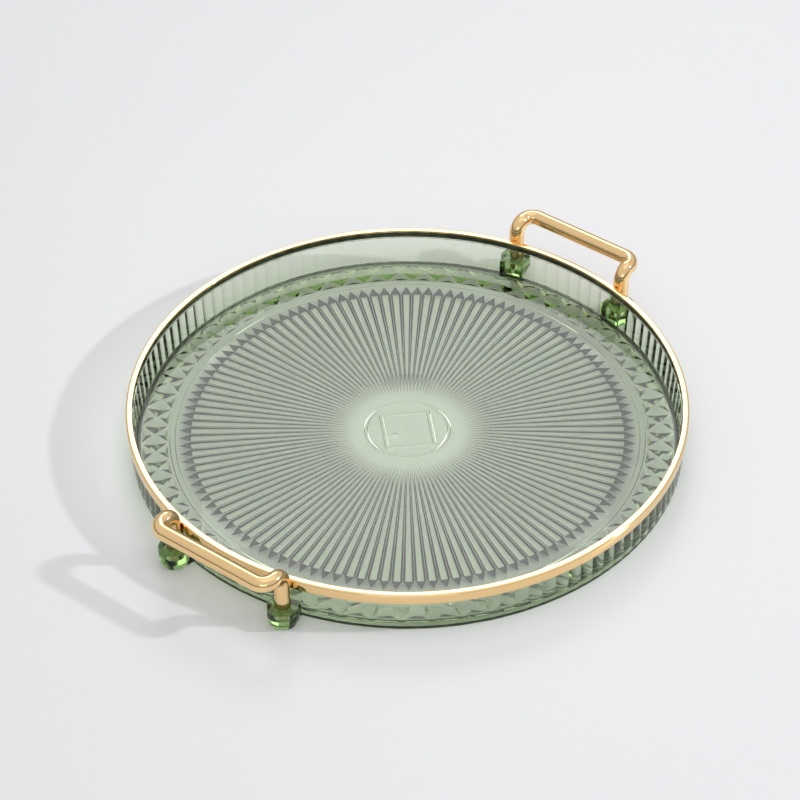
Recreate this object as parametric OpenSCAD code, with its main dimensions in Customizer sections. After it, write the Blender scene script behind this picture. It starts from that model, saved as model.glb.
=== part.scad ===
// Round vanity tray in clear green plastic, with a gold rim and two plug-in gold handles.
// Millimetres, +Z up. The origin is on the table plane at the centre of the tray,
// and the two handles stand at the -Y and the +Y side.

/* [Tray] */
// Outside diameter of the tray, measured over the gold rim
rim_d = 300; // [280:1:330]
// Height of the gold rim's top above the table
tray_h = 25; // [22:0.5:32]
// Height of the smooth inside floor above the table
floor_top = 4; // [3.9:0.1:5]
// Thickness of the floor plate above its raised underside pattern
plate_t = 1.8; // [1.5:0.1:2]
// Thickness of the side wall at its foot
wall_t = 3.2; // [2.8:0.1:4]
// Width of the foot ring that stands on the table
foot_w = 4.4; // [4:0.1:5.4]
// How far the inside of the wall leans out from its foot to its top
wall_draft = 1.6; // [0.8:0.1:1.8]

/* [Wall flutes] */
// Number of rounded flutes around the outside of the wall
flute_count = 120; // [60:10:150]
// Depth of the valleys between the flutes
flute_depth = 0.4; // [0.3:0.1:1]

/* [Sunburst floor] */
// Number of ribs that run out from the centre under the floor
rib_count = 120; // [60:10:120]
// Radius at which the ribs begin to rise
rib_start_r = 30; // [28:1:34]
// Radius at which the ribs have their full angular width
rib_full_r = 45; // [40:1:60]
// Radius at which the flat faces of the ribs stop
rib_face_end_r = 116.5; // [112:0.5:117]
// Radius of the ribs' pointed outer tips
rib_tip_r = 123; // [122:0.5:123.5]
// Height of a rib below the plate, at its widest
rib_h = 1; // [0.8:0.1:1.5]
// Width of a rib's flat face, at its widest
rib_face_w = 3.5; // [2.4:0.1:3.8]
// Width of the valley between two ribs, at its widest
rib_valley_w = 0.5; // [0.4:0.1:1]

/* [Beads under the floor] */
// Middle radius of the bead between the sunburst and the diamond band
bead_r = 126.3; // [126:0.1:127]
// Width of that bead
bead_w = 3.2; // [2:0.1:3.4]
// Middle radius of the small bead around the centre
centre_bead_r = 22.4; // [18:0.1:24]
// Width of the lines at the centre
centre_line_w = 2; // [1.2:0.1:2.4]
// Height of all these beads below the plate
bead_h = 0.3; // [0.2:0.1:0.8]

/* [Diamond band] */
// Number of diamonds around the edge of the floor
diamond_count = 60; // [36:6:60]
// Inner radius of the band
band_in_r = 129; // [128.5:0.1:130]
// Outer radius of the band
band_out_r = 142.8; // [141.6:0.1:143]
// Height of a whole diamond's point below the plate
diamond_h = 1.8; // [0.8:0.1:1.8]
// Height of the half diamonds' points along the two edges of the band
half_diamond_h = 1.2; // [0.6:0.1:1.4]
// Width of the flat lines between the diamonds
band_line_w = 1; // [0.6:0.1:1.6]

/* [Gold rim] */
// Width of the rim's flat top
rim_top_w = 3.4; // [3:0.1:4]
// Height of the rim's outer face
rim_skirt_h = 5.5; // [4:0.1:8]
// Thickness of the rim's top flange and of its skirt
rim_t = 1.1; // [0.9:0.1:1.3]
// Radius of the rim's rounded outer edge
rim_round = 0.8; // [0.3:0.1:0.8]

/* [Handles] */
// Diameter of the round handle bar
rod_d = 8.5; // [7:0.1:8.8]
// Distance between the two posts of a handle, centre to centre
post_spacing = 71.6; // [60:0.2:90]
// Distance that the grip stands outside the posts, centre to centre
grip_reach = 12.8; // [12.8:0.1:20]
// Height of the grip's centre line above the table
grip_z = 32.8; // [30:0.1:45]
// Bend radius of the rod's centre line at the top of a post
post_bend_r = 5.5; // [5:0.1:6]
// Bend radius of the rod's centre line where an arm meets the grip
grip_bend_r = 6.5; // [5:0.1:6.5]

/* [Sockets] */
// Diameter of a socket boss
boss_d = 16.2; // [14:0.1:17]
// Height of a socket boss above the table
boss_h = 10.5; // [9:0.1:12]
// Diameter of the peg below a post's shoulder
peg_d = 5; // [4:0.1:6]
// Length of the peg
peg_l = 6; // [4:0.1:6.5]
// Radial clearance of the peg in its socket
peg_clearance = 0.05; // [0.03:0.01:0.1]

/* [Hidden] */
$fn = 96;

green = [0.50, 0.64, 0.45, 0.75];
gold = [0.93, 0.76, 0.42];

plate_z = floor_top - plate_t;
rim_r = rim_d / 2;
crest_r = rim_r - 1.8;
seat_r = rim_r - rim_t - 0.05;
foot_r = crest_r - 0.4;
foot_band_h = 0.8;
foot_in_r = foot_r - foot_w;
wall_foot_r = crest_r - wall_t;
wall_top_z = tray_h - rim_t;
seat_z = tray_h - rim_skirt_h - 0.2;
corner_round = 0.6;
bite = 0.15;
tip_rise = 0.02;
arc_steps = 4;
flute_steps = 4;
over = 1;

post_gap = 0.3;
shoulder_gap = 0.05;
post_y = sqrt(pow(rim_r + rod_d / 2 + post_gap, 2) - pow(post_spacing / 2, 2));
grip_y = post_y + grip_reach;
shoulder_z = boss_h + shoulder_gap;
boss_taper = 0.9;
boss_taper_z = 4;
boss_reach = 9;
socket_depth = peg_l + 0.4;
shoulder_round = 1;
peg_lead = 0.6;

// Points of a quarter round of radius r about (x, y), from angle a to angle b
function arc_points(x, y, r, a, b, steps = arc_steps) =
    [for (i = [0 : steps]) let (t = a + (b - a) * i / steps) [x + r * cos(t), y + r * sin(t)]];

// Distance from the tray's centre to a flute's surface, at an angle off that flute's crest
flute_half = 180 / flute_count;
flute_chord = crest_r * sin(flute_half);
flute_r = (flute_chord * flute_chord + flute_depth * flute_depth) / (2 * flute_depth);
flute_c = crest_r - flute_r;
function flute_reach(a) = flute_c * cos(a) + sqrt(pow(flute_r, 2) - pow(flute_c * sin(a), 2));

// Outline of the wall's fluted outside
module fluted_outline() {
    polygon([
        for (i = [0 : flute_count - 1], j = [0 : flute_steps - 1])
            let (off = flute_half * (2 * j / flute_steps - 1))
            let (a = 2 * flute_half * i + off)
            flute_reach(off) * [cos(a), sin(a)]
    ]);
}

// Section of the smooth inside: a flat floor, a rounded corner and a leaning wall
module inside_section() {
    polygon(concat(
        [[0, floor_top]],
        arc_points(wall_foot_r - corner_round, floor_top + corner_round, corner_round, -90, 0),
        [[wall_foot_r + wall_draft, wall_top_z], [wall_foot_r + wall_draft, tray_h + over], [0, tray_h + over]]
    ));
}

// A raised ring under the plate, with sloping sides
module ring_bead(r, w) {
    slope = bead_h;
    rotate_extrude()
        polygon([
            [r - w / 2 - bite, plate_z + bite],
            [r - w / 2 + slope, plate_z - bead_h],
            [r + w / 2 - slope, plate_z - bead_h],
            [r + w / 2 + bite, plate_z + bite]
        ]);
}

// Four raised lines that form a square just inside the centre bead
module centre_square() {
    outer = (centre_bead_r - centre_line_w / 2) * sqrt(2) + centre_line_w / 2;
    inner = outer - 2 * centre_line_w;
    translate([0, 0, plate_z - bead_h])
        linear_extrude(bead_h + bite)
            difference() {
                square(outer, center = true);
                square(inner, center = true);
            }
}

// Cross-section of a rib at radius r: two corners on its face and two inside the plate
rib_pitch = 2 * PI * rib_face_end_r / rib_count;
rib_foot_w = rib_pitch - rib_valley_w;
rib_bevel_w = (rib_foot_w - rib_face_w) / 2;
rib_slope = rib_bevel_w / rib_h;
function rib_station(r) =
    let (s = r / rib_face_end_r)
    let (top = s * (rib_foot_w / 2 + rib_slope * bite))
    let (face = s * rib_face_w / 2)
    [
        [r, -face, plate_z - s * rib_h],
        [r, face, plate_z - s * rib_h],
        [r, top, plate_z + s * bite],
        [r, -top, plate_z + s * bite]
    ];

// One rib along +X: it swells from a point, runs out as a flat-faced bar and slopes down to a tip
module rib() {
    tip_slope = (rib_tip_r - rib_face_end_r) / rib_h;
    start = [[rib_start_r, 0, plate_z + tip_rise]];
    tip = [[rib_tip_r + tip_slope * bite, 0, plate_z + bite]];
    polyhedron(
        points = concat(start, rib_station(rib_full_r), rib_station(rib_face_end_r), tip),
        faces = concat(
            [for (i = [0 : 3]) [0, 1 + i, 1 + (i + 1) % 4]],
            [for (i = [0 : 3]) [1 + (i + 1) % 4, 1 + i, 5 + i]],
            [for (i = [0 : 3]) [1 + (i + 1) % 4, 5 + i, 5 + (i + 1) % 4]],
            [for (i = [0 : 3]) [9, 5 + (i + 1) % 4, 5 + i]]
        )
    );
}

// A flat-sided point under the plate, over a base outline of corners given anticlockwise from above
module facet_point(corners, tip, h) {
    n = len(corners);
    grow = (h + bite) / h;
    polyhedron(
        points = concat(
            [[tip[0], tip[1], plate_z - h]],
            [for (c = corners) let (p = tip + grow * (c - tip)) [p[0], p[1], plate_z + bite]]
        ),
        faces = concat(
            [for (i = [0 : n - 1]) [0, 1 + i, 1 + (i + 1) % n]],
            [[for (i = [0 : n - 1]) n - i]]
        )
    );
}

// One diamond of the band along +X
band_mid_r = (band_in_r + band_out_r) / 2;
band_half = (band_out_r - band_in_r) / 2;
diamond_half = band_mid_r * sin(180 / diamond_count);
line_inset = band_line_w / 2 * sqrt(2);
module diamond() {
    reach = band_half - line_inset / 2;
    side = diamond_half - line_inset;
    facet_point(
        [[band_mid_r - reach, 0], [band_mid_r, -side], [band_mid_r + reach, 0], [band_mid_r, side]],
        [band_mid_r, 0],
        diamond_h
    );
}

// The three-sided point that fills the gap between two diamonds along one edge of the band
module half_diamond(edge_r, inward) {
    side = edge_r * sin(180 / diamond_count) - 2 * line_inset;
    depth = band_half - 2 * line_inset;
    corners = [[edge_r, -side], [edge_r, side], [edge_r - inward * depth, 0]];
    facet_point(
        inward > 0 ? corners : [corners[1], corners[0], corners[2]],
        [edge_r - inward * depth / 3, 0],
        half_diamond_h
    );
}

// Everything raised under the floor plate
module underside_pattern() {
    for (i = [0 : rib_count - 1])
        rotate(360 * i / rib_count) rib();
    for (i = [0 : diamond_count - 1])
        rotate(360 * i / diamond_count) diamond();
    for (i = [0 : diamond_count - 1])
        rotate(360 * (i + 0.5) / diamond_count) {
            half_diamond(band_in_r, -1);
            half_diamond(band_out_r, 1);
        }
    ring_bead(bead_r, bead_w);
    ring_bead(centre_bead_r, centre_line_w);
    rotate(45) centre_square();
}

// The solid of one socket boss, with its straight web running into the wall
module boss_solid() {
    cylinder(h = boss_taper_z, r1 = boss_d / 2 - boss_taper, r2 = boss_d / 2);
    translate([0, 0, boss_taper_z])
        cylinder(h = boss_h - boss_taper_z, d = boss_d);
    translate([-boss_reach, -boss_d / 2 + boss_taper, 0])
        cube([boss_reach, boss_d - 2 * boss_taper, boss_h]);
}

// Places a child at each of the four posts, with its X axis pointing away from the tray's centre
module at_posts() {
    for (sx = [-1, 1], sy = [-1, 1])
        translate([sx * post_spacing / 2, sy * post_y, 0])
            rotate(atan2(sy * post_y, sx * post_spacing / 2))
                children();
}

// The clear green moulding: floor, patterned underside, fluted wall and four socket bosses
module tray_body() {
    color(green)
        union() {
            difference() {
                union() {
                    cylinder(h = foot_band_h, r = foot_r);
                    translate([0, 0, foot_band_h])
                        linear_extrude(seat_z - foot_band_h) fluted_outline();
                    translate([0, 0, seat_z])
                        cylinder(h = wall_top_z - seat_z, r = seat_r);
                    at_posts() boss_solid();
                }
                rotate_extrude() inside_section();
                translate([0, 0, -over])
                    cylinder(h = plate_z + over, r = foot_in_r);
                at_posts()
                    translate([0, 0, boss_h - socket_depth])
                        cylinder(h = socket_depth + over, r = peg_d / 2 + peg_clearance);
            }
            underside_pattern();
        }
}

// The gold ring that caps the wall: a flat flange and an outer skirt, rounded where they meet
module rim_trim() {
    color(gold)
        rotate_extrude($fn = 180)
            polygon(concat(
                [[rim_r - rim_top_w, tray_h - rim_t]],
                [[seat_r, tray_h - rim_t], [seat_r, tray_h - rim_skirt_h], [rim_r, tray_h - rim_skirt_h]],
                arc_points(rim_r - rim_round, tray_h - rim_round, rim_round, 0, 90),
                [[rim_r - rim_top_w, tray_h]]
            ));
}

// One quarter bend of the rod, about the Z axis and from +X to +Y
module rod_bend(r) {
    rotate_extrude(angle = 90)
        translate([r, 0]) circle(d = rod_d);
}

// Half of the handle on the +Y side: peg, post, two bends, arm and half the grip
module handle_half() {
    post_top_z = grip_z - post_bend_r;
    arm_end_y = grip_y - grip_bend_r;
    grip_half = post_spacing / 2 - grip_bend_r;
    translate([post_spacing / 2, post_y, shoulder_z - peg_l])
        cylinder(h = peg_lead, r1 = peg_d / 2 - peg_lead / 2, r2 = peg_d / 2);
    translate([post_spacing / 2, post_y, shoulder_z - peg_l + peg_lead])
        cylinder(h = peg_l - peg_lead + over, d = peg_d);
    translate([post_spacing / 2, post_y, shoulder_z])
        cylinder(h = shoulder_round, r1 = rod_d / 2 - shoulder_round, r2 = rod_d / 2);
    translate([post_spacing / 2, post_y, shoulder_z + shoulder_round])
        cylinder(h = post_top_z - shoulder_z - shoulder_round, d = rod_d);
    translate([post_spacing / 2, post_y + post_bend_r, post_top_z])
        rotate([0, -90, 0]) rotate(-90) rod_bend(post_bend_r);
    translate([post_spacing / 2, post_y + post_bend_r, grip_z])
        rotate([-90, 0, 0])
            cylinder(h = arm_end_y - post_y - post_bend_r, d = rod_d);
    translate([grip_half, arm_end_y, grip_z])
        rod_bend(grip_bend_r);
    translate([0, grip_y, grip_z])
        rotate([0, 90, 0])
            cylinder(h = grip_half, d = rod_d);
}

// A whole handle on the +Y side
module handle() {
    color(gold)
        union() {
            handle_half();
            mirror([1, 0, 0]) handle_half();
        }
}

module handle_rear() {
    handle();
}

module handle_front() {
    rotate(180) handle();
}

tray_body();
rim_trim();
handle_front();
handle_rear();
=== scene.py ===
"""A round vanity tray: one clear green moulding, a gold rim and two gold bar handles.

The tray's floor is smooth on top and carries a sunburst of ribs and a band of diamonds
underneath. The ribs' sloping sides are painted near black: painted shade that stands in for the
dark lines that the real ribs show. The underside's slight tint is partly painted shade. Sizes are
millimetres inside the classes that build pieces, and metres in the finished meshes, the finishes
and the studio.
"""

import logging
import math
from dataclasses import dataclass, field
from enum import Enum
from typing import Callable

import bmesh
import bpy
from mathutils import Matrix, Vector
from mathutils.geometry import delaunay_2d_cdt


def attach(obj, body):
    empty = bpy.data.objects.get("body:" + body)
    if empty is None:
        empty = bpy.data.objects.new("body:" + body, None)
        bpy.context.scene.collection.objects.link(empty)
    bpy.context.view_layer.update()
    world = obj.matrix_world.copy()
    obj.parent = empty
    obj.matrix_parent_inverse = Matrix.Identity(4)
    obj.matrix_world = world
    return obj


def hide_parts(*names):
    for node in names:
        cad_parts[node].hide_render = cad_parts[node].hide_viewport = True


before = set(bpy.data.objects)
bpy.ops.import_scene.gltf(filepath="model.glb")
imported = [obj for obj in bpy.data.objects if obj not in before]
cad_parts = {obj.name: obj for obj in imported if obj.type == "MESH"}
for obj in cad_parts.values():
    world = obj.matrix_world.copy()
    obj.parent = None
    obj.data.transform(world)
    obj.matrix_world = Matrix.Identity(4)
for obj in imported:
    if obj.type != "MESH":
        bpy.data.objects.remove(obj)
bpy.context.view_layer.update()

MM = 0.001

log = logging.getLogger("vanity_tray")
logging.basicConfig(level=logging.INFO, format="%(name)s: %(message)s")

Point2 = tuple[float, float]
Point3 = tuple[float, float, float]
Rgb = tuple[float, float, float]
Span = tuple[float, float]
NodeValue = bpy.types.NodeSocket | float | tuple[float, ...]

WHITE: Rgb = (1.0, 1.0, 1.0)
ROOT_2 = math.sqrt(2)


class Body(Enum):
    """The rigid bodies that pieces ride on."""

    TRAY = "tray"
    FRONT_HANDLE = "front_handle"
    REAR_HANDLE = "rear_handle"


class Slot(Enum):
    """The record's material slots."""

    PLASTIC = "green_clear_plastic"
    TRIM = "gold_trim"
    HANDLE = "gold_handle"


class Side(Enum):
    """The side of the tray that a handle stands at, as the sign of its Y."""

    FRONT = -1
    REAR = 1


class Finish(Enum):
    """The clear moulding's marks in its shade map, with 0 for the rest: the underside, whose tint is
    partly painted shade, and the ribs' sloping sides, which get painted shade.
    """

    UNDERSIDE = 1.0
    RIB_SIDE = 2.0


# ---- Finishes ----


class NodeGraph:
    """A short way to write a shader or geometry node tree."""

    def __init__(self, tree: bpy.types.NodeTree) -> None:
        """Starts on a tree, which may already hold nodes."""
        self.tree = tree

    def add(self, kind: str, inputs: dict | None = None, **settings: object) -> bpy.types.Node:
        """Adds a node.

        Args:
            kind: The node's type name.
            inputs: What goes into its inputs, by name or index: a value, or another node's output.
            settings: The node's own properties.

        Returns:
            The new node.
        """
        node = self.tree.nodes.new(kind)
        for name, value in settings.items():
            setattr(node, name, value)
        for key, value in (inputs or {}).items():
            socket = node.inputs[key]
            if isinstance(value, bpy.types.NodeSocket):
                self.tree.links.new(value, socket)
            else:
                socket.default_value = value
        return node

    def link(self, source: bpy.types.NodeSocket, target: bpy.types.NodeSocket) -> None:
        """Joins an output to an input."""
        self.tree.links.new(source, target)

    def maths(self, operation: str, first: NodeValue, second: NodeValue = 0.0) -> bpy.types.NodeSocket:
        """Adds a Math node and returns its result."""
        return self.add("ShaderNodeMath", {0: first, 1: second}, operation=operation).outputs[0]


class MaterialGraph(NodeGraph):
    """A new material and the nodes that make its look."""

    def __init__(self, name: str) -> None:
        """Makes an empty material."""
        self.material = bpy.data.materials.new(name)
        self.material.use_nodes = True
        self.material.node_tree.nodes.clear()
        super().__init__(self.material.node_tree)
        self.output = self.add("ShaderNodeOutputMaterial")
        self.place = self.add("ShaderNodeTexCoord").outputs["Object"]

    def noise(self, scale: float, detail: float) -> bpy.types.NodeSocket:
        """Adds soft noise on the Object coordinates.

        Args:
            scale: How many times it changes in a metre.
            detail: How many finer layers it has.

        Returns:
            The noise, from 0 to 1.
        """
        inputs = {"Vector": self.place, "Scale": scale, "Detail": detail}
        return self.add("ShaderNodeTexNoise", inputs).outputs["Fac"]

    def remap(self, value: NodeValue, source: Span, target: Span) -> bpy.types.NodeSocket:
        """Stretches a value from one span to another, and keeps it inside the second."""
        inputs = {0: value, 1: source[0], 2: source[1], 3: target[0], 4: target[1]}
        return self.add("ShaderNodeMapRange", inputs).outputs[0]

    def bump(self, height: NodeValue, distance: float) -> bpy.types.NodeSocket:
        """Adds a bump.

        Args:
            height: Its height, from 0 to 1.
            distance: What a height of 1 stands for, in metres.

        Returns:
            The surface's tilted direction.
        """
        inputs = {"Height": height, "Distance": distance, "Strength": 1.0}
        return self.add("ShaderNodeBump", inputs).outputs[0]

    def blend(self, share: NodeValue, first: Rgb, second: Rgb) -> bpy.types.NodeSocket:
        """Mixes two colours: a share of 0 gives the first and 1 the second."""
        # A Mix node has its two colours at inputs 6 and 7 and the mixed one at output 2.
        inputs = {0: share, 6: (*first, 1.0), 7: (*second, 1.0)}
        return self.add("ShaderNodeMix", inputs, data_type="RGBA").outputs[2]

    def either(self, share: NodeValue, first: bpy.types.NodeSocket,
               second: bpy.types.NodeSocket) -> bpy.types.NodeSocket:
        """Mixes two shaders: a share of 0 gives the first and 1 the second."""
        return self.add("ShaderNodeMixShader", {0: share, 1: first, 2: second}).outputs[0]

    def skin(self, **inputs: NodeValue) -> bpy.types.NodeSocket:
        """Adds a Principled shader.

        Args:
            inputs: Its inputs, by name, with an underscore for each space.

        Returns:
            The shader.
        """
        named = {name.replace("_", " "): value for name, value in inputs.items()}
        return self.add("ShaderNodeBsdfPrincipled", named).outputs[0]

    def finished(self, surface: bpy.types.NodeSocket,
                 depth: bpy.types.NodeSocket | None = None) -> bpy.types.Material:
        """Ends the material.

        Args:
            surface: The shader of its surface.
            depth: The shader of its inside, if it has one.

        Returns:
            The material.
        """
        self.link(surface, self.output.inputs["Surface"])
        if depth is not None:
            self.link(depth, self.output.inputs["Volume"])
        return self.material


@dataclass(frozen=True)
class ClearPlastic:
    """Polished clear plastic, tinted right through, with the faint waviness of a moulding."""

    name: str = "green_clear_plastic"
    # Partly the plastic's green and partly painted shade: it darkens the floor seen through the underside,
    # where the table under the tray gets less light.
    underside_tint_and_shade: Rgb = (0.79, 0.815, 0.785)
    # Painted shade for the ribs' sloping sides: a dull near-black surface.
    painted_shade_colour: Rgb = (0.02, 0.026, 0.026)
    painted_shade_roughness: float = 0.35
    tint_and_shade_map: str = "finish"
    refraction: float = 1.5
    passes: Rgb = (0.38, 0.64, 0.06)
    density: float = 95.0
    gloss: float = 0.015
    wear_scale: float = 900.0
    wear_detail: float = 3.0
    wear_span: Span = (0.45, 0.8)
    ripple_scale: float = 45.0
    ripple_detail: float = 1.0
    ripple_height: float = 0.000006
    shadow_tint: Rgb = (0.60, 0.63, 0.59)
    stripe_count: int = 120
    stripe_depth: float = 0.45
    wall_from: float = 0.1465

    def build(self) -> bpy.types.Material:
        """Makes the material.

        The eye sees real refraction, and lamps see a tinted way through. The shade map gives the
        underside a slight tint that is partly painted shade, and paints the ribs' sloping sides near
        black as painted shade. All of that is one material, because a ray that goes into a clear
        solid by one material and comes out by another stays darkened.
        """
        graph = MaterialGraph(self.name)
        # Shade map: 1 marks the underside, whose tint is partly painted shade, and 2 marks the ribs'
        # sloping sides, which get painted shade.
        finish = graph.add("ShaderNodeAttribute", attribute_name=self.tint_and_shade_map).outputs["Fac"]
        is_under = graph.maths("MINIMUM", finish, Finish.UNDERSIDE.value)
        is_painted_shade = graph.maths("SUBTRACT", finish, is_under)
        wear = graph.noise(self.wear_scale, self.wear_detail)
        clear = graph.skin(
            Base_Color=graph.blend(is_under, WHITE, self.underside_tint_and_shade),
            Metallic=0.0,
            Roughness=graph.remap(wear, self.wear_span, (0.0, self.gloss)),
            IOR=self.refraction,
            Transmission_Weight=1.0,
            Normal=graph.bump(graph.noise(self.ripple_scale, self.ripple_detail), self.ripple_height),
        )
        # Painted shade: a dull near-black surface on the ribs' sloping sides, in place of the dark lines
        # that the real ribs show.
        painted_shade_skin = graph.skin(
            Base_Color=(*self.painted_shade_colour, 1.0),
            Roughness=self.painted_shade_roughness,
            IOR=self.refraction,
        )
        lamp_way = graph.add("ShaderNodeBsdfTransparent", {"Color": self.striped_tint(graph)})
        for_lamps = graph.add("ShaderNodeLightPath").outputs["Is Shadow Ray"]
        surface = graph.either(for_lamps, graph.either(is_painted_shade, clear, painted_shade_skin), lamp_way.outputs[0])
        depth = graph.add(
            "ShaderNodeVolumeAbsorption", {"Color": (*self.passes, 1.0), "Density": self.density}
        )
        return graph.finished(surface, depth.outputs[0])

    def striped_tint(self, graph: MaterialGraph) -> bpy.types.NodeSocket:
        """Paints the way through for lamps, striped where the wall's flutes gather the light.

        Args:
            graph: The material's graph.

        Returns:
            The colour's socket.
        """
        axes = graph.add("ShaderNodeSeparateXYZ", {0: graph.place})
        x = axes.outputs["X"]
        y = axes.outputs["Y"]
        turn = graph.maths("ARCTAN2", y, x)
        wave = graph.maths("COSINE", graph.maths("MULTIPLY", turn, float(self.stripe_count)))
        squares = graph.maths("ADD", graph.maths("MULTIPLY", x, x), graph.maths("MULTIPLY", y, y))
        on_wall = graph.maths("GREATER_THAN", graph.maths("SQRT", squares), self.wall_from)
        swing = graph.maths("MULTIPLY", graph.maths("MULTIPLY", wave, on_wall), self.stripe_depth)
        share = graph.maths("SUBTRACT", graph.maths("ADD", swing, 1.0), self.stripe_depth)
        tinted = graph.add(
            "ShaderNodeVectorMath", {0: self.shadow_tint, "Scale": share}, operation="SCALE"
        )
        return tinted.outputs[0]


@dataclass(frozen=True)
class GoldPlate:
    """Bright gold plating, with the faint unevenness of polished metal."""

    name: str
    colour: Rgb = (1.0, 0.72, 0.38)
    deep_colour: Rgb = (0.98, 0.66, 0.31)
    smoothest: float = 0.05
    dullest: float = 0.13
    grain: float = 260.0
    grain_detail: float = 4.0
    grain_span: Span = (0.3, 0.75)
    ripple_scale: float = 90.0
    ripple_detail: float = 2.0
    ripple_height: float = 0.00002

    def build(self) -> bpy.types.Material:
        """Makes the material."""
        graph = MaterialGraph(self.name)
        patch = graph.noise(self.grain, self.grain_detail)
        metal = graph.skin(
            Base_Color=graph.blend(patch, self.colour, self.deep_colour),
            Metallic=1.0,
            Roughness=graph.remap(patch, self.grain_span, (self.smoothest, self.dullest)),
            Normal=graph.bump(graph.noise(self.ripple_scale, self.ripple_detail), self.ripple_height),
        )
        return graph.finished(metal)


@dataclass(frozen=True)
class DarkRimInside:
    """The inside faces of the rim, the flange's underside and the skirt's inside, near black-green."""

    name: str = "dark_bond"
    colour: Rgb = (0.020, 0.028, 0.016)
    patch_colour: Rgb = (0.045, 0.055, 0.030)
    patch_scale: float = 140.0
    patch_detail: float = 3.0
    roughness: float = 0.5

    def build(self) -> bpy.types.Material:
        """Makes the material."""
        graph = MaterialGraph(self.name)
        patch = graph.noise(self.patch_scale, self.patch_detail)
        tone = graph.blend(patch, self.colour, self.patch_colour)
        return graph.finished(graph.skin(Base_Color=tone, Roughness=self.roughness))


@dataclass(frozen=True)
class PaleTable:
    """A smooth pale table top."""

    name: str = "pale_table"
    colour: Rgb = (0.83, 0.835, 0.855)
    shade: Rgb = (0.80, 0.805, 0.83)
    cloud_scale: float = 2.5
    cloud_detail: float = 3.0
    roughness: float = 0.32
    refraction: float = 1.45

    def build(self) -> bpy.types.Material:
        """Makes the material."""
        graph = MaterialGraph(self.name)
        tone = graph.blend(graph.noise(self.cloud_scale, self.cloud_detail), self.colour, self.shade)
        stone = graph.skin(Base_Color=tone, Roughness=self.roughness, IOR=self.refraction)
        return graph.finished(stone)


# ---- Mesh helpers ----


def new_object(name: str, mesh: bpy.types.Mesh) -> bpy.types.Object:
    """Puts a mesh in the scene as an object at the origin."""
    piece = bpy.data.objects.new(name, mesh)
    bpy.context.scene.collection.objects.link(piece)
    return piece


def mesh_of(name: str, points: list[Point3], faces: list[tuple[int, ...]]) -> bpy.types.Mesh:
    """Makes a mesh from points in millimetres.

    Args:
        name: The mesh's name.
        points: The points, in millimetres.
        faces: The faces, as indices of points.

    Returns:
        The mesh, in metres.
    """
    mesh = bpy.data.meshes.new(name)
    mesh.from_pydata([Vector(p) * MM for p in points], [], faces)
    mesh.validate()
    return mesh


def lathe(name: str, outline: list[Point2], centre: Point2, steps: int) -> bpy.types.Mesh:
    """Turns an outline about a vertical axis into a closed solid.

    Args:
        name: The mesh's name.
        outline: Pairs of radius and height, from the bottom of the axis outwards and up to its top,
            or a closed loop if no radius is zero.
        centre: Where the axis stands.
        steps: Number of steps round.

    Returns:
        The mesh.
    """
    closed = all(radius > 0 for radius, _ in outline)
    form = bmesh.new()
    rings = []
    for radius, height in outline:
        if radius == 0:
            rings.append([form.verts.new((centre[0], centre[1], height))] * steps)
            continue
        turns = [math.tau * i / steps for i in range(steps)]
        rings.append([
            form.verts.new(
                (centre[0] + radius * math.cos(t), centre[1] + radius * math.sin(t), height)
            )
            for t in turns
        ])
    pairs = list(zip(rings, rings[1:]))
    if closed:
        pairs.append((rings[-1], rings[0]))
    for low, high in pairs:
        for i in range(steps):
            j = (i + 1) % steps
            corners = list(dict.fromkeys([low[i], low[j], high[j], high[i]]))
            if len(corners) > 2:
                form.faces.new(corners)
    bmesh.ops.recalc_face_normals(form, faces=form.faces)
    bmesh.ops.scale(form, vec=(MM, MM, MM), verts=form.verts)
    mesh = bpy.data.meshes.new(name)
    form.to_mesh(mesh)
    form.free()
    return mesh


def arc(centre: Point2, radius: float, start: float, end: float, steps: int) -> list[Point2]:
    """Points of an arc, angles in degrees."""
    turns = [math.radians(start + (end - start) * i / steps) for i in range(steps + 1)]
    return [(centre[0] + radius * math.cos(t), centre[1] + radius * math.sin(t)) for t in turns]


def shade_by_angle(mesh: bpy.types.Mesh, degrees: float) -> None:
    """Shades a mesh smooth, with sharp edges where its faces meet at more than an angle."""
    mesh.shade_smooth()
    mesh.set_sharp_from_angle(angle=math.radians(degrees))


def is_closed(mesh: bpy.types.Mesh) -> bool:
    """True if every edge has two faces."""
    form = bmesh.new()
    form.from_mesh(mesh)
    closed = all(len(edge.link_faces) == 2 for edge in form.edges)
    form.free()
    return closed


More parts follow.
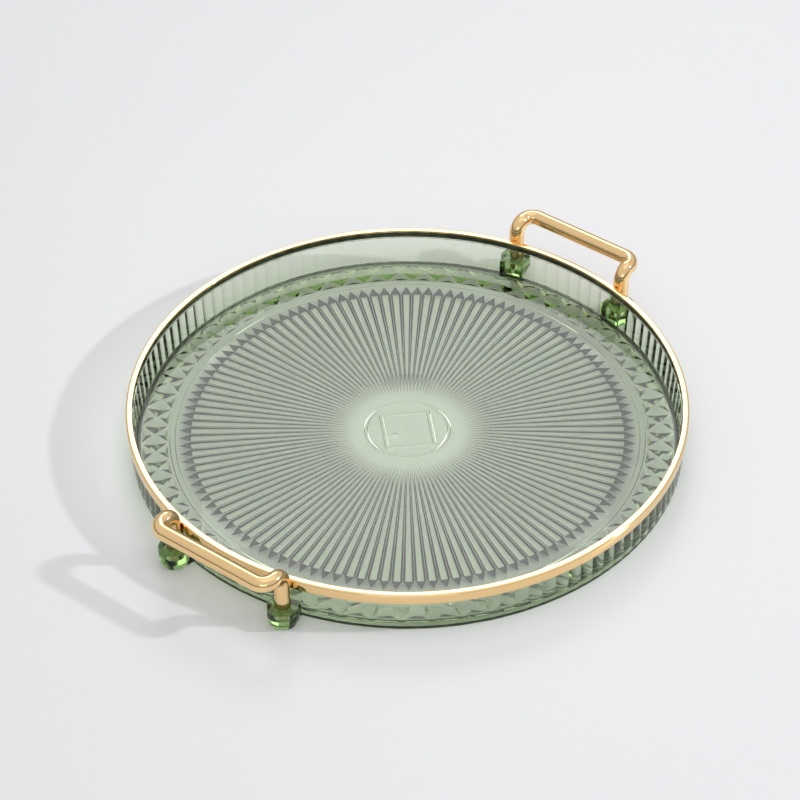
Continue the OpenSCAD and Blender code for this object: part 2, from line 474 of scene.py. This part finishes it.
class Recipe:
    """A geometry node tree with named inputs, and the object that it is used on."""

    def __init__(self, name: str) -> None:
        """Starts a tree with a geometry input and output."""
        self.tree = bpy.data.node_groups.new(name, "GeometryNodeTree")
        self.tree.is_modifier = True
        self.tree.interface.new_socket("Geometry", in_out="INPUT", socket_type="NodeSocketGeometry")
        self.tree.interface.new_socket("Geometry", in_out="OUTPUT", socket_type="NodeSocketGeometry")
        self.graph = NodeGraph(self.tree)
        self.source = self.graph.add("NodeGroupInput")
        self.values: dict[str, object] = {}

    def size(self, name: str, kind: str, value: object) -> bpy.types.NodeSocket:
        """Adds a named input.

        Args:
            name: The input's name.
            kind: Its type, such as Float, Int, Object or Material.
            value: The value that the finished piece uses.

        Returns:
            The input's socket inside the tree.
        """
        item = self.tree.interface.new_socket(name, in_out="INPUT", socket_type="NodeSocket" + kind)
        self.values[item.identifier] = value
        return self.source.outputs[name]

    def apply(self, name: str, source: bpy.types.Mesh | bpy.types.Curve, shape: bpy.types.NodeSocket,
              material: bpy.types.Material) -> bpy.types.Object:
        """Ends the tree, runs it on a source and keeps the result as a plain mesh.

        Args:
            name: The finished piece's name.
            source: The data that the tree starts from.
            shape: The tree's last geometry.
            material: What the piece is made of.

        Returns:
            The finished piece.
        """
        choice = self.size("Finish", "Material", material)
        whole = self.graph.add("GeometryNodeRealizeInstances", {0: shape})
        dressed = self.graph.add(
            "GeometryNodeSetMaterial", {"Geometry": whole.outputs[0], "Material": choice}
        )
        self.graph.add("NodeGroupOutput", {0: dressed.outputs[0]})
        carrier = bpy.data.objects.new(name + "_source", source)
        bpy.context.scene.collection.objects.link(carrier)
        modifier = carrier.modifiers.new("recipe", "NODES")
        modifier.node_group = self.tree
        for identifier, value in self.values.items():
            modifier[identifier] = value
        graph = bpy.context.evaluated_depsgraph_get()
        mesh = bpy.data.meshes.new_from_object(carrier.evaluated_get(graph), depsgraph=graph)
        mesh.name = name
        carrier.modifiers.remove(modifier)
        bpy.data.objects.remove(carrier)
        return new_object(name, mesh)


class Relief:
    """A flat sheet with raised patterns, given as lines that its triangles must follow."""

    fill_inside_lines = 1
    closest_points = 1e-6

    def __init__(self) -> None:
        """Starts an empty sheet."""
        self.spots: list[Point2] = []
        self.heights: list[float] = []
        self.lines: list[tuple[int, int]] = []

    def spot(self, x: float, y: float, height: float) -> int:
        """Adds a point and returns its number."""
        self.spots.append((x, y))
        self.heights.append(height)
        return len(self.spots) - 1

    def line(self, points: list[Point2], height: float, closed: bool = False) -> list[int]:
        """Adds a line of points, all at one height.

        Args:
            points: The points in order.
            height: Their height.
            closed: Whether the last joins the first.

        Returns:
            The points' numbers.
        """
        numbers = [self.spot(x, y, height) for x, y in points]
        self.join(numbers, closed)
        return numbers

    def join(self, numbers: list[int], closed: bool = False) -> None:
        """Says that triangles must follow the line through these points."""
        self.lines += list(zip(numbers, numbers[1:]))
        if closed:
            self.lines.append((numbers[-1], numbers[0]))

    def triangles(self) -> tuple[list[Point3], list[tuple[int, ...]]]:
        """Works out the sheet's points and triangles."""
        flat = [Vector(p) for p in self.spots]
        spots, _, faces, origins, _, _ = delaunay_2d_cdt(
            flat, self.lines, [], self.fill_inside_lines, self.closest_points
        )
        points = []
        for place, sources in zip(spots, origins):
            if not sources:
                raise ValueError(f"two lines of the relief cross at {tuple(place)}")
            points.append((place.x, place.y, self.heights[sources[0]]))
        return points, [tuple(face) for face in faces]


# ---- The clear moulding ----


def polar(radius: float, degrees: float) -> Point2:
    """A point at a radius and an angle."""
    return radius * math.cos(math.radians(degrees)), radius * math.sin(math.radians(degrees))


def circle(radius: float, steps: int) -> list[Point2]:
    """Points evenly round a circle."""
    return [polar(radius, 360.0 * i / steps) for i in range(steps)]


def turned(point: Point2, degrees: float) -> Point2:
    """A point turned about the origin."""
    cosine = math.cos(math.radians(degrees))
    sine = math.sin(math.radians(degrees))
    return point[0] * cosine - point[1] * sine, point[0] * sine + point[1] * cosine


@dataclass
class FloorPattern:
    """What is raised under the floor, in millimetres, with heights below the plate."""

    plate: float = 2.2
    sectors: int = 60
    steps: int = 12
    panel_r: float = 28.0
    rib_start_r: float = 30.0
    rib_full_r: float = 45.0
    rib_end_r: float = 116.5
    rib_tip_r: float = 123.0
    rib_height: float = 1.0
    rib_face: float = 3.5
    rib_foot: float = 5.6
    bead_radii: tuple[float, float] = (124.7, 128.0)
    bead_slope: float = 0.45
    bead_height: float = 0.3
    band_radii: tuple[float, float] = (129.0, 142.8)
    band_line: float = 1.0
    diamond_height: float = 1.75
    half_diamond_height: float = 1.15
    edge_r: float = 143.4
    ring_r: float = 22.4
    mark_line: float = 1.9
    mark_height: float = 0.5
    mark_slope: float = 0.3
    square_side: float = 27.6
    pit_place: Point2 = (-1.7, -8.8)
    pit_r: float = 2.8
    pit_depth: float = 0.12
    gate_r: float = 0.9
    gate_height: float = 0.15
    flat_share: float = 0.8
    small_steps: int = 36
    round_steps: int = 180

    @property
    def sector(self) -> float:
        """Angle of one sector."""
        return 360.0 / self.sectors

    def stretch(self, radius: float) -> list[Point2]:
        """One sector's stretch of a circle."""
        half = self.sector / 2
        return [polar(radius, -half + self.sector * i / self.steps) for i in range(self.steps + 1)]

    def sector_sheet(self) -> Relief:
        """One sector of the underside: two ribs, the bead, one diamond and four half triangles."""
        sheet = Relief()
        inner, outer = self.bead_radii
        levels = [
            (self.panel_r, 0.0),
            (inner, 0.0),
            (inner + self.bead_slope, self.bead_height),
            (outer - self.bead_slope, self.bead_height),
            (outer, 0.0),
            (self.edge_r, 0.0),
        ]
        ends: list[tuple[float, int, int]] = []
        for radius, drop in levels:
            numbers = sheet.line(self.stretch(radius), self.plate - drop)
            ends.append((radius, numbers[0], numbers[-1]))
        for side in (-1, 1):
            self.rib(sheet, side * self.sector / 4)
        self.diamond(sheet)
        for side in (-1, 1):
            for edge, inward in ((self.band_radii[0], -1), (self.band_radii[1], 1)):
                ends += self.half_triangle(sheet, edge, inward, side)
        for column in (1, 2):
            rows = sorted((end[0], end[column]) for end in ends if end[column] >= 0)
            sheet.join([number for _, number in rows])
        return sheet

    def rib(self, sheet: Relief, angle: float) -> None:
        """Adds one rib along an angle: a flat-faced bar that slopes away to a point at each end."""
        share = self.rib_full_r / self.rib_end_r
        half_foot = self.rib_foot / 2
        half_face = self.rib_face / 2
        low = self.plate - self.rib_height
        start = sheet.spot(*turned((self.rib_start_r, 0), angle), self.plate)
        tip = sheet.spot(*turned((self.rib_tip_r, 0), angle), self.plate)
        rows = []
        for side in (-1, 1):
            foot_a = sheet.spot(
                *turned((self.rib_full_r, side * half_foot * share), angle), self.plate
            )
            foot_b = sheet.spot(*turned((self.rib_end_r, side * half_foot), angle), self.plate)
            face_a = sheet.spot(
                *turned((self.rib_full_r, side * half_face * share), angle),
                self.plate - self.rib_height * share,
            )
            face_b = sheet.spot(*turned((self.rib_end_r, side * half_face), angle), low)
            sheet.join([start, foot_a, foot_b, tip])
            sheet.join([start, face_a, face_b, tip])
            sheet.join([foot_a, face_a])
            sheet.join([foot_b, face_b])
            rows.append((face_a, face_b))
        sheet.join([rows[0][0], rows[1][0]])
        sheet.join([rows[0][1], rows[1][1]])

    def diamond(self, sheet: Relief) -> None:
        """Adds the diamond in the middle of the sector."""
        inner, outer = self.band_radii
        middle = (inner + outer) / 2
        inset = self.band_line / ROOT_2
        reach = (outer - inner) / 2 - inset / 2
        half = middle * math.sin(math.radians(self.sector / 2)) - inset
        corners = [
            sheet.spot(middle - reach, 0, self.plate),
            sheet.spot(middle, -half, self.plate),
            sheet.spot(middle + reach, 0, self.plate),
            sheet.spot(middle, half, self.plate),
        ]
        tip = sheet.spot(middle, 0, self.plate - self.diamond_height)
        sheet.join(corners, closed=True)
        for corner in corners:
            sheet.join([corner, tip])

    def half_triangle(self, sheet: Relief, edge: float, inward: int,
                      side: int) -> list[tuple[float, int, int]]:
        """Adds the half of a three-sided point that lies in this sector.

        Args:
            sheet: The sheet to add it to.
            edge: Radius of the band's edge that it stands on.
            inward: 1 if it points towards the centre, -1 if away from it.
            side: -1 or 1, the side of the sector that cuts it in half.

        Returns:
            The points on the cut, as radius, number on the -1 side and number on the 1 side.
        """
        inset = self.band_line * ROOT_2
        depth = (self.band_radii[1] - self.band_radii[0]) / 2 - inset
        half = edge * math.sin(math.radians(self.sector / 2)) - inset
        cut = side * self.sector / 2
        corner = sheet.spot(*turned((edge, -side * half), cut), self.plate)
        base = sheet.spot(*turned((edge, 0), cut), self.plate)
        far = sheet.spot(*turned((edge - inward * depth, 0), cut), self.plate)
        # The point stands over the middle of the whole triangle, a third of the way in.
        tip_r = edge - inward * depth / 3
        tip = sheet.spot(*turned((tip_r, 0), cut), self.plate - self.half_diamond_height)
        sheet.join([base, corner, far])
        sheet.join([corner, tip])
        rows = [(edge, base), (tip_r, tip), (edge - inward * depth, far)]
        if side < 0:
            return [(radius, number, -1) for radius, number in rows]
        return [(radius, -1, number) for radius, number in rows]

    def centre_sheet(self) -> Relief:
        """The plain panel at the centre, with its ring, its square and the marks of the mould."""
        sheet = Relief()
        sheet.line(circle(self.panel_r, self.sectors * self.steps), self.plate, True)
        half = self.mark_line / 2
        low = self.plate - self.mark_height
        ring = [
            (self.ring_r + half, self.plate),
            (self.ring_r + half - self.mark_slope, low),
            (self.ring_r - half + self.mark_slope, low),
            (self.ring_r - half, self.plate),
        ]
        for radius, height in ring:
            sheet.line(circle(radius, self.round_steps), height, True)
        reach = self.square_side / ROOT_2
        wide = self.mark_line * ROOT_2
        slope = self.mark_slope * ROOT_2
        for inset, height in ((0, self.plate), (slope, low), (wide - slope, low), (wide, self.plate)):
            sheet.line(circle(reach - inset, 4), height, True)
        marks = (
            (self.pit_place, self.pit_r, self.pit_depth),
            ((0.0, 0.0), self.gate_r, -self.gate_height),
        )
        for centre, radius, rise in marks:
            levels = ((radius, self.plate), (radius * self.flat_share, self.plate + rise))
            for ring_r, height in levels:
                points = circle(ring_r, self.small_steps)
                sheet.line([(centre[0] + x, centre[1] + y) for x, y in points], height, True)
        return sheet


def at_all_angles(radius: float) -> Callable[[float], float]:
    """A radius as a function of the angle, the same all the way round."""
    return lambda _: radius


@dataclass
class WallShape:
    """Section of the wall and the foot, in millimetres."""

    floor_top: float = 4.0
    foot_r: float = 145.0
    top_r: float = 146.6
    top_z: float = 23.9
    corner: float = 0.6
    corner_steps: int = 5
    seat_r: float = 148.85
    seat_z: float = 19.3
    crest_r: float = 148.2
    flute_depth: float = 0.4
    flutes: int = 120
    flute_foot: float = 0.8
    foot_band_r: float = 147.8
    foot_in_r: float = 143.4
    edge: float = 0.35

    def flute_reach(self, degrees: float) -> float:
        """Radius of the fluted outside at an angle."""
        half = math.pi / self.flutes
        offset = (math.radians(degrees) + half) % (2 * half) - half
        chord = self.crest_r * math.sin(half)
        bend = (chord**2 + self.flute_depth**2) / (2 * self.flute_depth)
        centre = self.crest_r - bend
        return centre * math.cos(offset) + math.sqrt(bend**2 - (centre * math.sin(offset)) ** 2)

    def rows(self, plate: float) -> list[tuple[Callable[[float], float], float]]:
        """Rows of the wall from the floor's edge, up, over the top and down to the underside.

        Args:
            plate: Height of the floor plate's underside.

        Returns:
            Pairs of radius, as a function of the angle, and height.
        """
        start = self.foot_r - self.corner
        turn = (start, self.floor_top + self.corner)
        points = arc(turn, self.corner, -90, 0, self.corner_steps)
        points += [
            (self.top_r, self.top_z - self.edge),
            (self.top_r + self.edge, self.top_z),
            (self.seat_r, self.top_z),
            (self.seat_r, self.seat_z),
        ]
        rows = [(at_all_angles(radius), height) for radius, height in points]
        rows += [(self.flute_reach, self.seat_z), (self.flute_reach, self.flute_foot)]
        foot = [
            (self.foot_band_r, self.flute_foot),
            (self.foot_band_r, self.edge),
            (self.foot_band_r - self.edge, 0.0),
            (self.foot_in_r + self.edge, 0.0),
            (self.foot_in_r, self.edge),
            (self.foot_in_r, plate),
        ]
        return rows + [(at_all_angles(radius), height) for radius, height in foot]


@dataclass
class Socket:
    """One socket boss and its blind hole, in millimetres.

    The hole widens by hole_lead at its mouth, and its cutter goes hole_past beyond that.
    """

    radius: float = 8.1
    foot_radius: float = 7.2
    taper_z: float = 4.0
    height: float = 10.5
    rounding: float = 0.5
    rounding_steps: int = 4
    lift: float = 0.1
    foot_edge: float = 0.2
    hole_r: float = 2.55
    hole_depth: float = 6.4
    hole_lead: float = 0.3
    hole_past: float = 0.5
    hole_steps: int = 48
    web_reach: float = 9.0
    web_inset: float = 0.25
    web_lift: float = 0.2
    web_drop: float = 0.3
    steps: int = 64

    def boss(self, place: Point2) -> bpy.types.Mesh:
        """The boss, a drum with a slightly drawn-in foot and a rounded top edge."""
        top = self.height - self.rounding
        outline = [(0.0, self.lift), (self.foot_radius - self.foot_edge, self.lift)]
        outline += [(self.foot_radius, self.lift + self.foot_edge), (self.radius, self.taper_z)]
        outline += arc((self.radius - self.rounding, top), self.rounding, 0, 90, self.rounding_steps)
        outline += [(0.0, self.height)]
        return lathe("boss", outline, place, self.steps)

    def web(self, place: Point2) -> bpy.types.Mesh:
        """The block that joins the boss to the wall."""
        outward = Vector(place).normalized()
        across = Vector((-outward.y, outward.x))
        half = self.foot_radius - self.web_inset
        inner = -self.web_reach
        points = []
        for z in (self.web_lift, self.height - self.web_drop):
            for run, side in ((inner, -half), (0, -half), (0, half), (inner, half)):
                spot = Vector(place) + outward * run + across * side
                points.append((spot.x, spot.y, z))
        faces = [(0, 3, 2, 1), (4, 5, 6, 7), (0, 1, 5, 4), (1, 2, 6, 5), (2, 3, 7, 6), (3, 0, 4, 7)]
        return mesh_of("web", points, faces)

    def hole(self, place: Point2) -> bpy.types.Mesh:
        """The blind hole that takes a peg."""
        floor = self.height - self.hole_depth
        mouth = self.height + self.hole_past
        outline = [(0.0, floor), (self.hole_r, floor), (self.hole_r, self.height - self.hole_lead)]
        outline += [(self.hole_r + self.hole_lead + self.hole_past, mouth), (0.0, mouth)]
        return lathe("hole", outline, place, self.hole_steps)


@dataclass
class TrayMoulding:
    """The clear green moulding: floor, wall, foot ring and four socket bosses.

    A face that looks straight down has an upward part of -1. One with under_below or less is part
    of the underside, and one with lying_below or less lies flat.
    """

    plastic: bpy.types.Material
    pattern: FloorPattern = field(default_factory=FloorPattern)
    wall: WallShape = field(default_factory=WallShape)
    socket: Socket = field(default_factory=Socket)
    post_x: float = 35.8
    post_y: float = 150.347
    weld: float = 0.004
    sharp_angle: float = 12.0
    lying_below: float = -0.995
    under_below: float = -0.2

    def sector(self) -> bpy.types.Mesh:
        """One sector of the moulding, from the centre to the wall."""
        points, faces = self.pattern.sector_sheet().triangles()
        faces = [face[::-1] for face in faces]
        half = self.pattern.sector / 2
        steps = self.pattern.steps
        turns = [-half + self.pattern.sector * i / steps for i in range(steps + 1)]
        rows = self.wall.rows(self.pattern.plate)
        first = len(points)
        for reach, height in rows:
            points += [(*polar(reach(turn), turn), height) for turn in turns]
        for row in range(len(rows) - 1):
            for i in range(steps):
                a = first + row * (steps + 1) + i
                b = a + steps + 1
                faces.append((a, b, b + 1, a + 1))
        centre = len(points)
        points.append((0.0, 0.0, self.wall.floor_top))
        faces += [(centre, first + i, first + i + 1) for i in range(steps)]
        return mesh_of("tray_sector", points, faces)

    def centre_panel(self) -> bpy.types.Mesh:
        """The panel at the centre of the underside."""
        points, faces = self.pattern.centre_sheet().triangles()
        return mesh_of("centre_panel", points, [face[::-1] for face in faces])

    def build(self) -> bpy.types.Object:
        """Repeats the sector round the tray, closes it and adds the bosses with their holes."""
        posts = [(sx * self.post_x, sy * self.post_y) for sx in (-1, 1) for sy in (-1, 1)]
        helpers = [new_object("centre_panel", self.centre_panel())]
        added = [mesh for post in posts for mesh in (self.socket.boss(post), self.socket.web(post))]
        helpers += [new_object(mesh.name, mesh) for mesh in added]
        holes = [new_object("hole", self.socket.hole(post)) for post in posts]

        recipe = Recipe("tray_round")
        graph = recipe.graph
        count = recipe.size("Sector count", "Int", self.pattern.sectors)
        angle = recipe.size("Sector angle", "Float", math.radians(self.pattern.sector))
        weld = recipe.size("Weld distance", "Float", self.weld * MM)
        panel = recipe.size("Centre panel", "Object", helpers[0])
        spots = graph.add("GeometryNodeMeshLine", {"Count": count, "Offset": (0.0, 0.0, 0.0)})
        index = graph.add("GeometryNodeInputIndex")
        turn = graph.maths("MULTIPLY", index.outputs[0], angle)
        spin = graph.add("ShaderNodeCombineXYZ", {"Z": turn})
        ring = graph.add(
            "GeometryNodeInstanceOnPoints",
            {
                "Points": spots.outputs[0],
                "Instance": recipe.source.outputs["Geometry"],
                "Rotation": spin.outputs[0],
            },
        )
        centre = graph.add("GeometryNodeObjectInfo", {"Object": panel})
        both = graph.add("GeometryNodeJoinGeometry", {0: ring.outputs[0]})
        graph.link(centre.outputs["Geometry"], both.inputs[0])
        whole = graph.add("GeometryNodeRealizeInstances", {0: both.outputs[0]})
        shell = graph.add(
            "GeometryNodeMergeByDistance", {"Geometry": whole.outputs[0], "Distance": weld}
        )
        shape = self.cut(recipe, shell.outputs[0], helpers[1:], "Boss", "UNION")
        shape = self.cut(recipe, shape, holes, "Hole", "DIFFERENCE")
        tray = recipe.apply("tray_moulding", self.sector(), shape, self.plastic)
        self.dress_underside(tray)
        shade_by_angle(tray.data, self.sharp_angle)
        for helper in helpers + holes:
            bpy.data.objects.remove(helper)
        return tray

    def dress_underside(self, tray: bpy.types.Object) -> None:
        """Writes the shade map: the patterned underside, whose tint is partly painted shade, and the ribs'
        sloping sides, which get painted shade.
        """
        marks = tray.data.attributes.new(ClearPlastic.tint_and_shade_map, "FLOAT", "FACE")
        top = (self.pattern.plate + self.weld) * MM
        for face in tray.data.polygons:
            reach = math.hypot(face.center.x, face.center.y)
            if reach > self.pattern.edge_r * MM or face.center.z > top:
                continue
            if face.normal.z > self.under_below:
                continue
            ribbed = self.pattern.rib_start_r * MM < reach < self.pattern.rib_tip_r * MM
            sloping = face.normal.z > self.lying_below
            # The ribs' sloping sides get painted shade. The rest of the underside gets the tint that is
            # partly painted shade.
            finish = Finish.RIB_SIDE if ribbed and sloping else Finish.UNDERSIDE
            marks.data[face.index].value = finish.value

    @staticmethod
    def cut(recipe: Recipe, shape: bpy.types.NodeSocket, tools: list[bpy.types.Object],
            word: str, operation: str) -> bpy.types.NodeSocket:
        """Adds the tree's step that joins tools to a shape or cuts them from it.

        Args:
            recipe: The tree.
            shape: The shape so far.
            tools: The objects to join or to cut away.
            word: What they are called among the tree's inputs.
            operation: UNION or DIFFERENCE.

        Returns:
            The new shape.
        """
        node = recipe.graph.add("GeometryNodeMeshBoolean", operation=operation, solver="MANIFOLD")
        kept = "Mesh 1" if operation == "DIFFERENCE" else "Mesh 2"
        recipe.graph.link(shape, node.inputs[kept])
        for number, tool in enumerate(tools, 1):
            entry = recipe.size(f"{word} {number}", "Object", tool)
            info = recipe.graph.add("GeometryNodeObjectInfo", {"Object": entry})
            recipe.graph.link(info.outputs["Geometry"], node.inputs["Mesh 2"])
        return node.outputs[0]


# ---- The gold pieces ----


@dataclass
class GoldRim:
    """The gold ring that caps the wall, in millimetres.

    The slack is how far past the hidden surfaces a face's middle may be and still count as hidden.
    """

    gold: bpy.types.Material
    rim_inside_material: bpy.types.Material
    outer_r: float = 150.0
    inner_r: float = 146.6
    top_z: float = 25.0
    skirt: float = 5.5
    thickness: float = 1.1
    outer_round: float = 0.8
    outer_steps: int = 8
    small_round: float = 0.25
    small_steps: int = 3
    slack: float = 0.0625
    sharp_angle: float = 35.0
    steps: int = 720

    def build(self) -> bpy.types.Object:
        """Turns the rim's section, a flange with a skirt, into a ring."""
        foot = self.top_z - self.skirt
        under = self.top_z - self.thickness
        skirt_in = self.outer_r - self.thickness
        small = self.small_round
        big = self.outer_round
        outline = [(self.inner_r, under), (skirt_in, under), (skirt_in, foot + small)]
        outline += arc((skirt_in + small, foot + small), small, 180, 270, self.small_steps)[1:]
        outline += arc((self.outer_r - small, foot + small), small, -90, 0, self.small_steps)
        outline += arc((self.outer_r - big, self.top_z - big), big, 0, 90, self.outer_steps)
        outline += arc((self.inner_r + small, self.top_z - small), small, 90, 180, self.small_steps)
        rim = new_object("gold_rim", lathe("gold_rim", outline, (0.0, 0.0), self.steps))
        rim.data.materials.append(self.gold)
        rim.data.materials.append(self.rim_inside_material)
        for face in rim.data.polygons:
            reach = math.hypot(face.center.x, face.center.y)
            inward = reach < (skirt_in + self.slack) * MM
            face.material_index = int(inward and face.center.z < (under + self.slack) * MM)
        shade_by_angle(rim.data, self.sharp_angle)
        return rim


@dataclass
class BarHandle:
    """A handle bent from one round bar, with a turned-down peg on each end, in millimetres.

    The shoulder_gap keeps the peg's last point and the shoulder's first from falling together.
    """

    gold: bpy.types.Material
    side: Side
    bar_r: float = 4.25
    peg_r: float = 2.5
    peg_length: float = 6.0
    peg_lead: float = 0.6
    shoulder_z: float = 10.55
    shoulder_round: float = 1.0
    shoulder_steps: int = 6
    shoulder_gap: float = 0.001
    post_x: float = 35.8
    post_y: float = 150.347
    reach: float = 12.8
    grip_z: float = 32.8
    post_bend: float = 5.5
    grip_bend: float = 6.5
    bend_steps: int = 16
    sides: int = 64
    sharp_angle: float = 30.0

    def route(self) -> list[tuple[Vector, float]]:
        """The bar's centre line from one peg to the other, with the radius at each point."""
        shoulder = self.shoulder_z
        bottom = shoulder - self.peg_length
        lead_r = self.peg_r - self.peg_lead / 2
        stand = [(bottom, lead_r), (bottom + self.peg_lead, self.peg_r), (shoulder, self.peg_r)]
        soft = self.shoulder_round
        turn = arc((self.bar_r - soft, soft), soft, -90, 0, self.shoulder_steps)
        stand += [(shoulder + z + self.shoulder_gap, r) for r, z in turn]
        half = [(Vector((self.post_x, self.post_y, z)), r) for z, r in stand]
        rise = arc((self.post_bend, self.grip_z - self.post_bend), self.post_bend, 180, 90,
                   self.bend_steps)
        half += [(Vector((self.post_x, self.post_y + y, z)), self.bar_r) for y, z in rise]
        grip_y = self.post_y + self.reach
        centre = (self.post_x - self.grip_bend, grip_y - self.grip_bend)
        swing = arc(centre, self.grip_bend, 0, 90, self.bend_steps)
        half += [(Vector((x, y, self.grip_z)), self.bar_r) for x, y in swing]
        mirrored = [(Vector((-p.x, p.y, p.z)), r) for p, r in reversed(half)]
        return [(place * MM, radius * MM) for place, radius in half + mirrored]

    def build(self) -> bpy.types.Object:
        """Sweeps the bar's round section along its centre line."""
        name = "front_bar_handle" if self.side is Side.FRONT else "rear_bar_handle"
        points = self.route()
        line = bpy.data.curves.new(name, "CURVE")
        line.dimensions = "3D"
        spline = line.splines.new("POLY")
        spline.points.add(len(points) - 1)
        for spot, (place, radius) in zip(spline.points, points):
            spot.co = (place.x * self.side.value, place.y * self.side.value, place.z, 1.0)
            spot.radius = radius
        recipe = Recipe(name)
        sides = recipe.size("Sides", "Int", self.sides)
        section = recipe.graph.add(
            "GeometryNodeCurvePrimitiveCircle", {"Resolution": sides, "Radius": 1.0}
        )
        thickness = recipe.graph.add("GeometryNodeInputRadius")
        sweep = recipe.graph.add(
            "GeometryNodeCurveToMesh",
            {
                "Curve": recipe.source.outputs["Geometry"],
                "Profile Curve": section.outputs[0],
                "Scale": thickness.outputs[0],
                "Fill Caps": True,
            },
        )
        handle = recipe.apply(name, line, sweep.outputs[0], self.gold)
        shade_by_angle(handle.data, self.sharp_angle)
        return handle


# ---- The studio ----


@dataclass(frozen=True)
class Lamp:
    """A soft rectangular lamp: where it stands, seen from the tray, and how strong it is."""

    name: str
    azimuth: float
    elevation: float
    distance: float
    width: float
    height: float
    power: float
    colour: Rgb = WHITE


@dataclass
class Studio:
    """The table, the lamps, the room and the camera. Angles are degrees and lengths metres.

    room_greys are pairs of height, from 0 at the horizon to 1 overhead, and brightness.
    """

    azimuth: float = 37.5
    elevation: float = 40.82
    roll: float = 0.325
    distance: float = 1.5622
    aside: float = 0.00402
    above: float = -0.01593
    aim_height: float = 0.0028
    lens: float = 130.64
    sensor: float = 36.0
    nearest: float = 0.05
    table_half: float = 3.0
    room_greys: tuple[Span, ...] = ((0.0, 0.14), (0.12, 0.25), (0.35, 0.67), (1.0, 0.75))
    lamps: tuple[Lamp, ...] = (
        Lamp("key_lamp", azimuth=33.5, elevation=32.0, distance=2.6, width=0.12, height=0.12, power=24),
        Lamp("back_softbox", azimuth=127.5, elevation=41.5, distance=2, width=0.8, height=0.62, power=3.6),
        Lamp("top_softbox", azimuth=60, elevation=80, distance=2.4, width=1.8, height=1.8, power=3),
        Lamp("front_softbox", azimuth=-52, elevation=24, distance=2.2, width=1.2, height=0.7, power=2.5),
    )

    def build(self) -> None:
        """Makes the table, the lamps, the room's light and the camera."""
        self.table()
        for lamp in self.lamps:
            self.lamp(lamp)
        self.room()
        self.camera()
        bpy.context.scene.view_settings.view_transform = "Standard"

    def table(self) -> None:
        """The pale table top."""
        half = self.table_half
        corners = [(-half, -half, 0), (half, -half, 0), (half, half, 0), (-half, half, 0)]
        mesh = bpy.data.meshes.new("table")
        mesh.from_pydata(corners, [], [(0, 1, 2, 3)])
        mesh.materials.append(PaleTable().build())
        new_object("table", mesh)

    def lamp(self, lamp: Lamp) -> None:
        """Adds one lamp, turned towards the tray."""
        light = bpy.data.lights.new(lamp.name, "AREA")
        light.shape = "RECTANGLE"
        light.size = lamp.width
        light.size_y = lamp.height
        light.energy = lamp.power
        light.color = lamp.colour
        piece = bpy.data.objects.new(lamp.name, light)
        around = math.radians(lamp.azimuth)
        up = math.radians(lamp.elevation)
        back = Vector((math.cos(around) * math.cos(up), math.sin(around) * math.cos(up), math.sin(up)))
        piece.matrix_world = Matrix.Translation(back * lamp.distance) @ back.to_track_quat(
            "Z", "Y"
        ).to_matrix().to_4x4()
        bpy.context.scene.collection.objects.link(piece)

    def room(self) -> None:
        """The room's own light: bright above and dim towards the floor."""
        world = bpy.data.worlds.new("room")
        world.use_nodes = True
        world.node_tree.nodes.clear()
        graph = NodeGraph(world.node_tree)
        way = graph.add("ShaderNodeTexCoord").outputs["Generated"]
        height = graph.add("ShaderNodeSeparateXYZ", {0: way}).outputs["Z"]
        ramp = graph.add("ShaderNodeValToRGB", {0: height})
        elements = ramp.color_ramp.elements
        elements.remove(elements[1])
        for number, (share, grey) in enumerate(self.room_greys):
            element = elements.new(share) if number else elements[0]
            element.color = (grey, grey, grey, 1.0)
        light = graph.add("ShaderNodeBackground", {"Color": ramp.outputs[0], "Strength": 1.0})
        graph.add("ShaderNodeOutputWorld", {0: light.outputs[0]})
        bpy.context.scene.world = world

    def camera(self) -> None:
        """The camera, looking down at the tray from its front right."""
        around = math.radians(self.azimuth)
        up = math.radians(self.elevation)
        back = Vector((math.sin(around) * math.cos(up), -math.cos(around) * math.cos(up), math.sin(up)))
        right = Vector((math.cos(around), math.sin(around), 0.0))
        rise = back.cross(right)
        cosine = math.cos(math.radians(self.roll))
        sine = math.sin(math.radians(self.roll))
        image_right = right * cosine - rise * sine
        image_up = right * sine + rise * cosine
        place = back * self.distance - image_right * self.aside - image_up * self.above
        place.z += self.aim_height
        data = bpy.data.cameras.new("camera")
        data.lens = self.lens
        data.sensor_width = self.sensor
        data.clip_start = self.nearest
        piece = bpy.data.objects.new("camera", data)
        turn = Matrix((image_right, image_up, back)).transposed().to_4x4()
        piece.matrix_world = Matrix.Translation(place) @ turn
        bpy.context.scene.collection.objects.link(piece)
        bpy.context.scene.camera = piece


# ---- The whole ----


def place(piece: bpy.types.Object, body: Body, slot: Slot, node: str) -> None:
    """Ties a finished piece to the frame and reports it.

    Args:
        piece: The piece.
        body: The body that it rides on.
        slot: The record's material slot that it belongs to; not used.
        node: The CAD node that it stands for.
    """
    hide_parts(node)
    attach(piece, body.value)
    count = sum(len(face.vertices) - 2 for face in piece.data.polygons)
    log.info("%s: %d triangles, closed: %s", piece.name, count, is_closed(piece.data))


def main() -> None:
    """Builds the studio and every piece in order."""
    Studio().build()
    plastic = ClearPlastic().build()
    trim_gold = GoldPlate("gold_trim").build()
    handle_gold = GoldPlate("gold_handle").build()
    moulding = TrayMoulding(plastic)
    place(moulding.build(), Body.TRAY, Slot.PLASTIC, "tray_body")
    place(GoldRim(trim_gold, DarkRimInside().build()).build(), Body.TRAY, Slot.TRIM, "rim_trim")
    front = BarHandle(handle_gold, Side.FRONT).build()
    place(front, Body.FRONT_HANDLE, Slot.HANDLE, "handle_front")
    rear = BarHandle(handle_gold, Side.REAR).build()
    place(rear, Body.REAR_HANDLE, Slot.HANDLE, "handle_rear")


if __name__ == "__main__":
    main()
